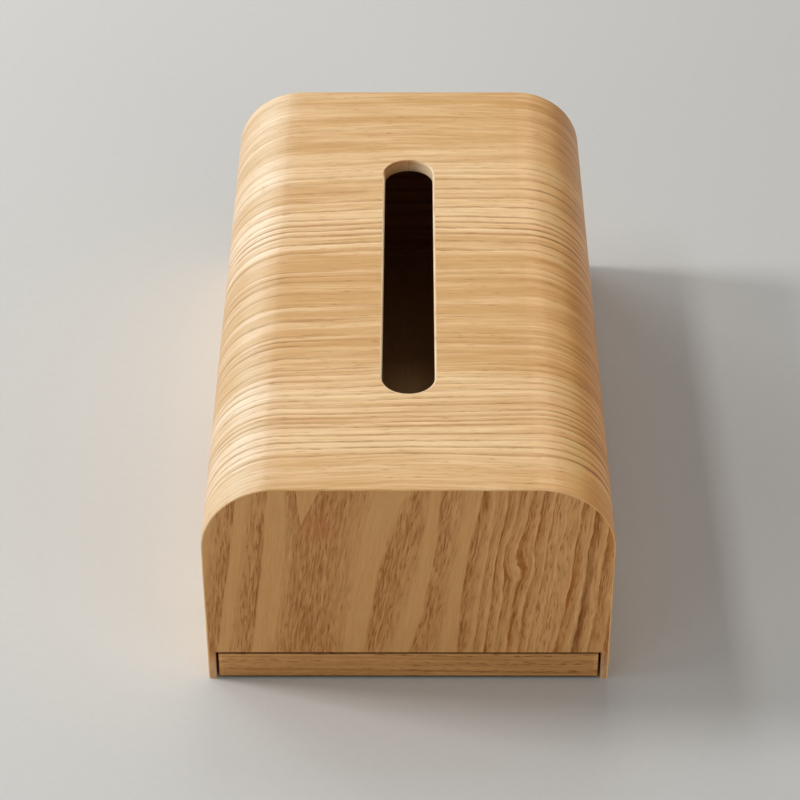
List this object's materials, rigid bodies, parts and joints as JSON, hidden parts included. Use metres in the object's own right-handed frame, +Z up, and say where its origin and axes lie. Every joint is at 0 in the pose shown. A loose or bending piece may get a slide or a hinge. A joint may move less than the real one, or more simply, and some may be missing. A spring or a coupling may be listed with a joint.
{
  "type": "tissue box with drawer",
  "caption": "Low veneered tissue box, arched across its width, with a round-ended slot in the top and a flat base that pulls out at the front like a drawer.",
  "frame": {"origin": "centre of the footprint, on the surface that the box stands on", "axes": "+X to the right as seen from the drawer's front, +Y from the front to the back, +Z up"},
  "size_m": [0.14, 0.255, 0.086],
  "materials": {
    "ash_veneer": "satin lacquered ash veneer, open grain",
    "birch_plywood": "bare plywood, sanded",
    "lining_veneer": "sealed veneer",
    "solid_ash": "satin lacquered solid ash",
    "beech": "waxed beech",
    "dowel_beech": "fluted dowel, bare",
    "pin_steel": "bright drawn wire",
    "magnet_nickel": "nickel plate"
  },
  "bodies": {
    "case": {"shell_face_veneer": "ash_veneer", "shell_core": "birch_plywood", "shell_lining_veneer": "lining_veneer", "slot_edge_band": "ash_veneer", "front_face_veneer": "ash_veneer", "front_panel_core": "birch_plywood", "front_lining_veneer": "lining_veneer", "back_face_veneer": "ash_veneer", "back_panel_core": "birch_plywood", "back_lining_veneer": "lining_veneer", "left_runner": "beech", "right_runner": "beech", "runner_pins": "pin_steel", "case_magnets": "magnet_nickel"},
    "drawer": {"drawer_front": "solid_ash", "drawer_left_rail": "beech", "drawer_right_rail": "beech", "drawer_rear_rail": "beech", "drawer_board": "birch_plywood", "drawer_front_dowels": "dowel_beech", "drawer_rear_pins": "pin_steel", "drawer_magnets": "magnet_nickel"}
  },
  "joints": [
    {"name": "drawer_slide", "type": "slide", "parent": "case", "child": "drawer", "axis": [0, -1, 0], "range_m": [0, 0.25]}
  ]
}
